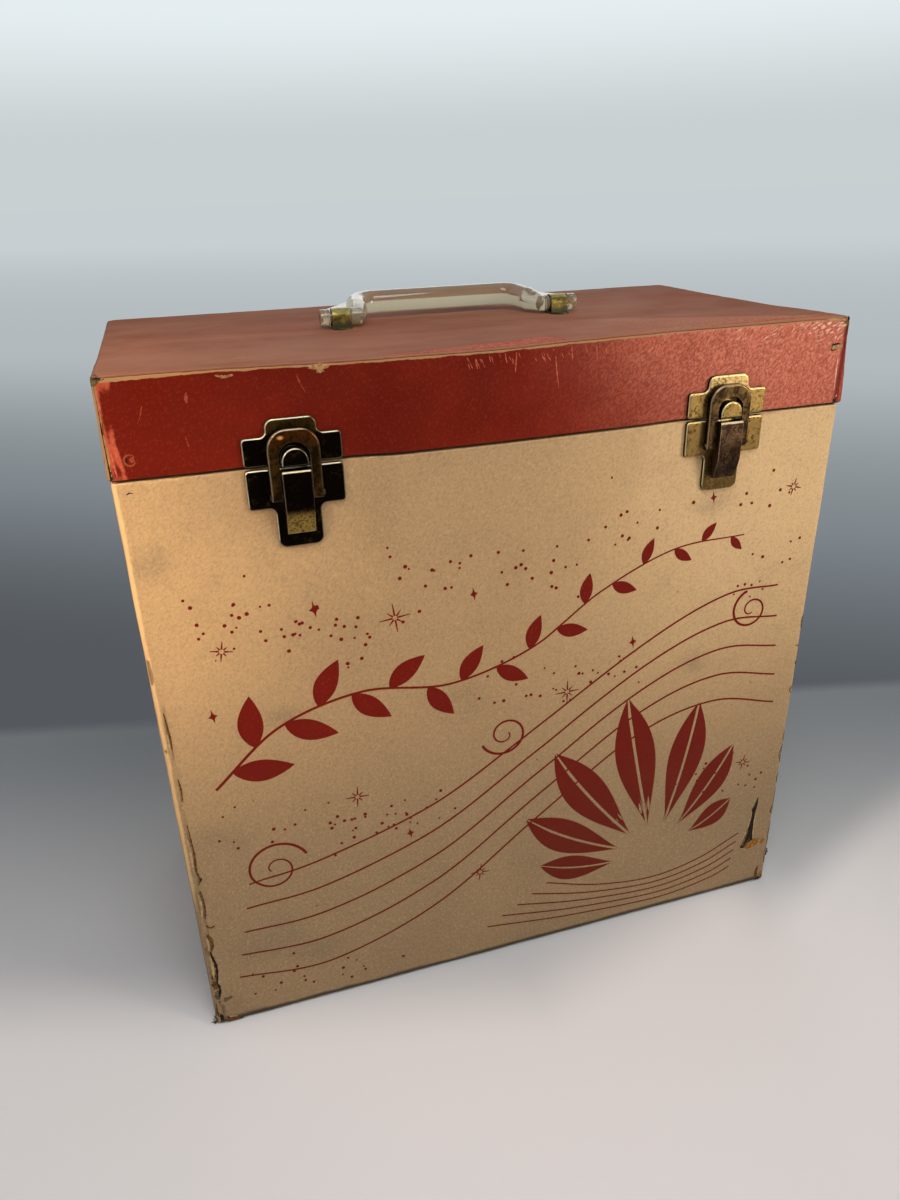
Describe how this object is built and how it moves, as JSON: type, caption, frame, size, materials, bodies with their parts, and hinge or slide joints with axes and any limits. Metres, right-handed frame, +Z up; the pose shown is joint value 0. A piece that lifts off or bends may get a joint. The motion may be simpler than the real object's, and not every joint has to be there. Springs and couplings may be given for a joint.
{
  "type": "record carrying case",
  "caption": "Upright box case for 12-inch records, with a hinged lid, draw latches on the front and a fold-down carrying handle on top.",
  "frame": {"origin": "middle of the face that the case stands on", "axes": "+Z up, the front with the latches faces -Y, +X to the right seen from the front"},
  "size_m": [0.34, 0.1924, 0.3557],
  "materials": {
    "pressed_board": "dense brown pressed board, matte",
    "cream_leatherette": "aged cream paper-backed leatherette, fine pebble grain, stained and scuffed",
    "red_leatherette": "red paper-backed leatherette, worn to tan kraft at the edges",
    "lining_paper": "plain buff lining paper",
    "underside_paper": "dark brown paper",
    "steel_wire": "dull wire",
    "steel_pin": "browned steel",
    "hinge_brass": "brassed steel, dulled",
    "plate_brass": "antiqued brass plate, dark with rubbed bright edges",
    "lever_brass": "antiqued brass plate, dark",
    "loop_brass": "antiqued brass plate, dark",
    "clear_acrylic": "clear acrylic, slightly yellowed, polished",
    "backing_steel": "plain sheet steel",
    "strap_brass": "brass strip, tarnished, bright at the crown"
  },
  "bodies": {
    "base": {"base_back_board": "pressed_board", "base_bottom_board": "pressed_board", "base_corner_staples": "steel_wire", "base_covering": "cream_leatherette", "base_front_board": "pressed_board", "base_left_board": "pressed_board", "base_lining": "lining_paper", "base_right_board": "pressed_board", "base_underside_sheet": "underside_paper", "hinge_base_leaf_left": "hinge_brass", "hinge_base_leaf_right": "hinge_brass", "hinge_base_rivets": "hinge_brass", "hinge_pin_left": "steel_pin", "hinge_pin_right": "steel_pin", "latch_base_plate_left": "plate_brass", "latch_base_plate_right": "plate_brass", "latch_lever_pin_left": "steel_pin", "latch_lever_pin_right": "steel_pin"},
    "lid": {"handle_backing_plate_left": "backing_steel", "handle_backing_plate_right": "backing_steel", "handle_base_plate_left": "strap_brass", "handle_base_plate_right": "strap_brass", "handle_strap_left": "strap_brass", "handle_strap_right": "strap_brass", "hinge_lid_leaf_left": "hinge_brass", "hinge_lid_leaf_right": "hinge_brass", "hinge_lid_rivets": "hinge_brass", "latch_strike_plate_left": "plate_brass", "latch_strike_plate_right": "plate_brass", "lid_back_board": "pressed_board", "lid_corner_staples": "steel_wire", "lid_covering": "red_leatherette", "lid_front_board": "pressed_board", "lid_left_board": "pressed_board", "lid_lining": "lining_paper", "lid_right_board": "pressed_board", "lid_top_board": "pressed_board"},
    "handle": {"handle": "clear_acrylic"},
    "lever_left": {"latch_lever_left": "lever_brass", "latch_loop_pin_left": "steel_pin"},
    "loop_left": {"latch_loop_left": "loop_brass"},
    "lever_right": {"latch_lever_right": "lever_brass", "latch_loop_pin_right": "steel_pin"},
    "loop_right": {"latch_loop_right": "loop_brass"}
  },
  "joints": [
    {"name": "lid_hinge", "type": "hinge", "parent": "base", "child": "lid", "pos_m": [0, 0.09255, 0.302], "axis": [-1, 0, 0], "range_deg": [0, 180]},
    {"name": "handle_swing", "type": "hinge", "parent": "lid", "child": "handle", "pos_m": [0, 0, 0.3471], "axis": [1, 0, 0], "range_deg": [0, 168]},
    {"name": "lever_left_lift", "type": "hinge", "parent": "base", "child": "lever_left", "pos_m": [-0.098, -0.095, 0.2991], "axis": [-1, 0, 0], "range_deg": [0, 115]},
    {"name": "loop_left_swing", "type": "hinge", "parent": "lever_left", "child": "loop_left", "pos_m": [-0.098, -0.0934, 0.2898], "axis": [-1, 0, 0], "range_deg": [-185, 0]},
    {"name": "lever_right_lift", "type": "hinge", "parent": "base", "child": "lever_right", "pos_m": [0.105, -0.095, 0.2991], "axis": [-1, 0, 0], "range_deg": [0, 115]},
    {"name": "loop_right_swing", "type": "hinge", "parent": "lever_right", "child": "loop_right", "pos_m": [0.105, -0.0934, 0.2898], "axis": [-1, 0, 0], "range_deg": [-185, 0]}
  ],
  "couplings": [
    {"joint": "loop_left_swing", "follows": "lever_left_lift", "ratio": -1.6},
    {"joint": "loop_right_swing", "follows": "lever_right_lift", "ratio": -1.6}
  ]
}
